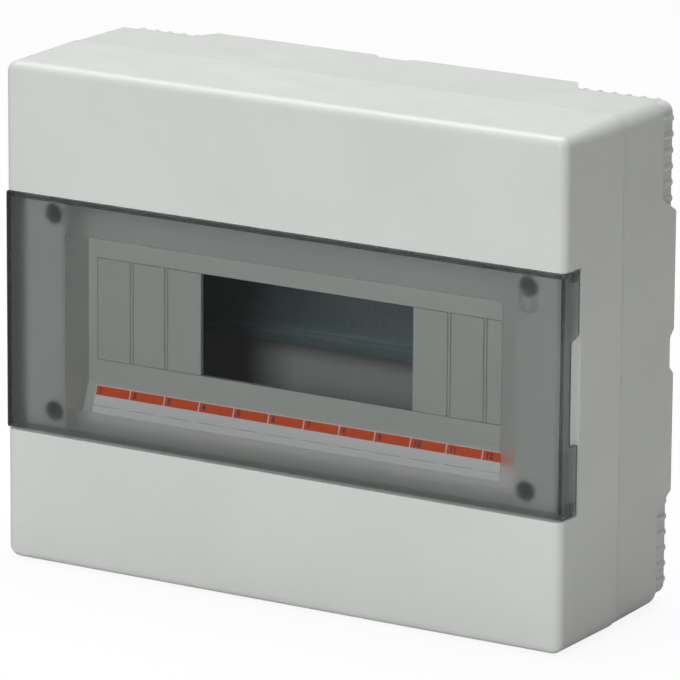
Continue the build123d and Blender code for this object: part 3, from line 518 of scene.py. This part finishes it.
class BOX_OT_small_mouldings(Operator):
    """Gives the blanking strips, rail supports, washers and terminal carriers their finish"""
    bl_idname = "distribution_box.small_mouldings"
    bl_label = "Small Mouldings"

    def execute(self, context):
        plastic = context.scene.box_plastic
        washers = [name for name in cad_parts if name.endswith("_screw_washer")]
        for name, rgb, roughness, nodes in (
                ("blank_plastic", plastic.blank_colour, 0.42,
                 ["left_blanking_strip", "right_blanking_strip"]),
                ("support_plastic", plastic.support_colour, 0.5, ["left_rail_support", "right_rail_support"]),
                ("washer_nylon", plastic.nylon_colour, 0.38, washers),
                ("earth_plastic", plastic.earth_colour, 0.34, ["earth_terminal_carrier"]),
                ("neutral_plastic", plastic.neutral_colour, 0.34, ["neutral_terminal_carrier"])):
            finish_nodes(moulded_plastic(name, rgb, plastic, roughness), nodes)
        return {"FINISHED"}


class BOX_OT_circuit_label(Operator):
    """Makes the printed card, its numbers and its dotted writing lines"""
    bl_idname = "distribution_box.circuit_label"
    bl_label = "Circuit Label"

    def execute(self, context):
        label = context.scene.box_label
        self.card(label)
        self.numbers(label)
        self.writing_lines(label)
        return {"FINISHED"}

    def card(self, label):
        """Card with rounded corners, whose front is cut into band, ticks and plain paper."""
        width, height = card_size(label)
        pitch = width / label.cells
        band_top = height / 2 - label.band_margin
        band_bottom = band_top - label.band_height
        shape = bmesh.new()
        bmesh.ops.create_cube(shape, size=1.0)
        bmesh.ops.scale(shape, vec=(width, height, label.thickness), verts=shape.verts)
        corners = [edge for edge in shape.edges if abs(edge.verts[0].co.z - edge.verts[1].co.z) > 0]
        bmesh.ops.bevel(shape, geom=corners, offset=label.corner_radius, segments=CORNER_STEPS,
                        profile=0.5, affect="EDGES", material=-1)
        ticks = [cell * pitch - width / 2 + side * label.tick_width / 2
                 for cell in range(1, label.cells) for side in (-1, 1)]
        ticks += [side * (width / 2 - label.band_margin) for side in (-1, 1)]
        cuts = [((x, 0, 0), (1, 0, 0)) for x in ticks]
        cuts += [((0, y, 0), (0, 1, 0)) for y in (band_top, band_bottom)]
        for point, normal in cuts:
            bmesh.ops.bisect_plane(shape, geom=shape.verts[:] + shape.edges[:] + shape.faces[:],
                                   plane_co=point, plane_no=normal)
        for face in shape.faces:
            middle = face.calc_center_median()
            tick_distance = abs((middle.x + width / 2 + pitch / 2) % pitch - pitch / 2)
            in_band = band_bottom < middle.y < band_top and abs(middle.x) < width / 2 - label.band_margin
            if face.normal.z > 0.5 and in_band and tick_distance > label.tick_width / 2:
                face.material_index = 1
        bmesh.ops.transform(shape, matrix=card_frame(label.tilt), verts=shape.verts)
        inks = [card_paper(label), printing_ink("band_ink", label.band_colour)]
        piece = mesh_piece("label_card", shape, inks)
        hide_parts("circuit_label")
        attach(piece, "box")

    def numbers(self, label):
        """Printed number at the left of each cell."""
        width, height = card_size(label)
        pitch = width / label.cells
        middle_y = height / 2 - label.band_margin - label.band_height / 2
        shape = bmesh.new()
        for cell in range(label.cells):
            text = bpy.data.curves.new("number", "FONT")
            text.body = str(cell + 1)
            text.size = label.number_size
            text.extrude = label.ink_height / 2
            text.offset = label.number_weight
            text.align_y = "CENTER"
            holder = bpy.data.objects.new("number", text)
            digits = bpy.data.meshes.new_from_object(holder)
            x = cell * pitch - width / 2 + label.number_inset
            z = label.thickness / 2 + label.ink_height / 2
            digits.transform(Matrix.Translation((x, middle_y, z)))
            shape.from_mesh(digits)
            bpy.data.objects.remove(holder)
            bpy.data.curves.remove(text)
            bpy.data.meshes.remove(digits)
        bmesh.ops.remove_doubles(shape, verts=shape.verts, dist=MERGE_DISTANCE)
        bmesh.ops.transform(shape, matrix=card_frame(label.tilt), verts=shape.verts)
        piece = mesh_piece("label_numbers", shape, [printing_ink("number_ink", label.number_colour)])
        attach(piece, "box")

    def writing_lines(self, label):
        """Row of dots under each cell's number, as a line to write on."""
        width, height = card_size(label)
        pitch = width / label.cells
        dots = int(pitch * label.dot_share / label.dot_pitch)
        y = height / 2 - label.dot_drop
        z = label.thickness / 2 + label.ink_height / 2
        shape = bmesh.new()
        for cell in range(label.cells):
            for dot in range(dots):
                x = cell * pitch - width / 2 + (dot + 0.5) * label.dot_pitch
                bmesh.ops.create_cone(shape, cap_ends=True, segments=DOT_SIDES,
                                      radius1=label.dot_radius, radius2=label.dot_radius,
                                      depth=label.ink_height, matrix=Matrix.Translation((x, y, z)))
        bmesh.ops.transform(shape, matrix=card_frame(label.tilt), verts=shape.verts)
        piece = mesh_piece("label_writing_lines", shape, [printing_ink("dot_ink", label.dot_colour)])
        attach(piece, "box")


class BOX_OT_rail(Operator):
    """Gives the mounting rail its galvanised finish"""
    bl_idname = "distribution_box.rail"
    bl_label = "Mounting Rail"

    def execute(self, context):
        finish_nodes(galvanised_steel(context.scene.box_metal), ["din_rail"])
        return {"FINISHED"}


class BOX_OT_fasteners(Operator):
    """Gives all the screws their plated finish"""
    bl_idname = "distribution_box.fasteners"
    bl_label = "Fasteners"

    def execute(self, context):
        metal = context.scene.box_metal
        cover_screws = [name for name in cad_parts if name.endswith("_cover_screw")]
        inner_screws = [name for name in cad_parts
                        if name.endswith(("_rail_screw", "_terminal_screws", "_carrier_screws"))]
        for name, rgb, roughness, edge, screws in (
                ("cover_screw_steel", metal.cover_screw_colour, 0.38, COVER_SCREW_EDGE, cover_screws),
                ("screw_steel", metal.screw_colour, 0.3, SCREW_EDGE, inner_screws)):
            finish_nodes(machined_metal(name, rgb, roughness, edge), screws)
        return {"FINISHED"}


class BOX_OT_terminal_bars(Operator):
    """Gives the terminal bars their sawn brass finish"""
    bl_idname = "distribution_box.terminal_bars"
    bl_label = "Terminal Bars"

    def execute(self, context):
        brass = machined_metal("terminal_brass", context.scene.box_metal.brass_colour, 0.26, BAR_EDGE)
        finish_nodes(brass, ["earth_terminal_bar", "neutral_terminal_bar"])
        return {"FINISHED"}


class BOX_OT_studio(Operator):
    """Sets up the floor, the soft lights and the camera"""
    bl_idname = "distribution_box.studio"
    bl_label = "Studio"

    def execute(self, context):
        studio = context.scene.box_studio
        low, high = CAD_BOUNDS
        middle = (low + high) / 2
        self.floor(studio, low.z)
        self.surroundings(context, studio)
        self.softbox("top_light", TOP_LIGHT_PLACE, middle, TOP_LIGHT_SIZE, studio.top_power)
        self.softbox("front_light", FRONT_LIGHT_PLACE, middle, FRONT_LIGHT_SIZE, studio.front_power)
        self.camera(context, studio)
        return {"FINISHED"}

    def floor(self, studio, level):
        shape = bmesh.new()
        bmesh.ops.create_circle(shape, cap_ends=True, segments=FLOOR_SIDES, radius=studio.floor_radius,
                                matrix=Matrix.Translation((0, 0, level)))
        mesh_piece("floor", shape, [studio_paper(studio)])

    def surroundings(self, context, studio):
        """Dim light from all round, which the camera sees as white."""
        world = bpy.data.worlds.new("studio")
        world.use_nodes = True
        tree = world.node_tree
        dim = tree.nodes["Background"]
        dim.inputs["Color"].default_value = WHITE
        dim.inputs["Strength"].default_value = studio.ambient
        white = add_node(tree, "ShaderNodeBackground", {"Color": WHITE, "Strength": 1.0})
        seen = add_node(tree, "ShaderNodeLightPath").outputs["Is Camera Ray"]
        both = mix_shaders(tree, seen, dim.outputs["Background"], white.outputs["Background"])
        tree.links.new(both, tree.nodes["World Output"].inputs["Surface"])
        context.scene.world = world
        context.scene.view_settings.view_transform = "Standard"

    def softbox(self, name, place, target, size, power):
        light = bpy.data.lights.new(name, "AREA")
        light.shape = "RECTANGLE"
        light.size, light.size_y = size
        light.energy = power
        holder = bpy.data.objects.new(name, light)
        bpy.context.scene.collection.objects.link(holder)
        holder.location = place
        holder.rotation_euler = (target - Vector(place)).to_track_quat("-Z", "Y").to_euler()

    def camera(self, context, studio):
        lens = bpy.data.cameras.new("camera")
        lens.lens = studio.lens
        lens.clip_end = 4 * studio.floor_radius
        holder = bpy.data.objects.new("camera", lens)
        context.scene.collection.objects.link(holder)
        turn = Matrix.Rotation(studio.camera_turn, 4, "Z")
        tilt = Matrix.Rotation(pi / 2 - studio.camera_tilt, 4, "X")
        roll = Matrix.Rotation(studio.camera_roll, 4, "Z")
        holder.matrix_world = Matrix.Translation(studio.camera_place) @ turn @ tilt @ roll
        context.scene.camera = holder


class BOX_PT_looks(Panel):
    """Lists the steps that build the looks of the box"""
    bl_idname = "BOX_PT_looks"
    bl_label = "Distribution Box"
    bl_space_type = "VIEW_3D"
    bl_region_type = "UI"
    bl_category = "Distribution Box"

    def draw(self, context):
        for step in STEPS:
            self.layout.operator(step.bl_idname)
        for name in SETTINGS:
            settings = getattr(context.scene, name)
            section = self.layout.box()
            for key in type(settings).__annotations__:
                section.prop(settings, key)


STEPS = (BOX_OT_moulded_shells, BOX_OT_smoked_door, BOX_OT_small_mouldings, BOX_OT_circuit_label, BOX_OT_rail,
         BOX_OT_fasteners, BOX_OT_terminal_bars, BOX_OT_studio)
SETTINGS = {"box_plastic": PlasticSettings, "box_door": DoorSettings, "box_label": LabelSettings,
            "box_metal": MetalSettings, "box_studio": StudioSettings}


def register():
    for item in (*SETTINGS.values(), *STEPS, BOX_PT_looks):
        bpy.utils.register_class(item)
    for name, group in SETTINGS.items():
        setattr(bpy.types.Scene, name, PointerProperty(type=group))


def unregister():
    for name in SETTINGS:
        delattr(bpy.types.Scene, name)
    for item in reversed((*SETTINGS.values(), *STEPS, BOX_PT_looks)):
        bpy.utils.unregister_class(item)


def main():
    register()
    for step in STEPS:
        family, name = step.bl_idname.split(".")
        getattr(getattr(bpy.ops, family), name)()


if __name__ == "__main__":
    main()
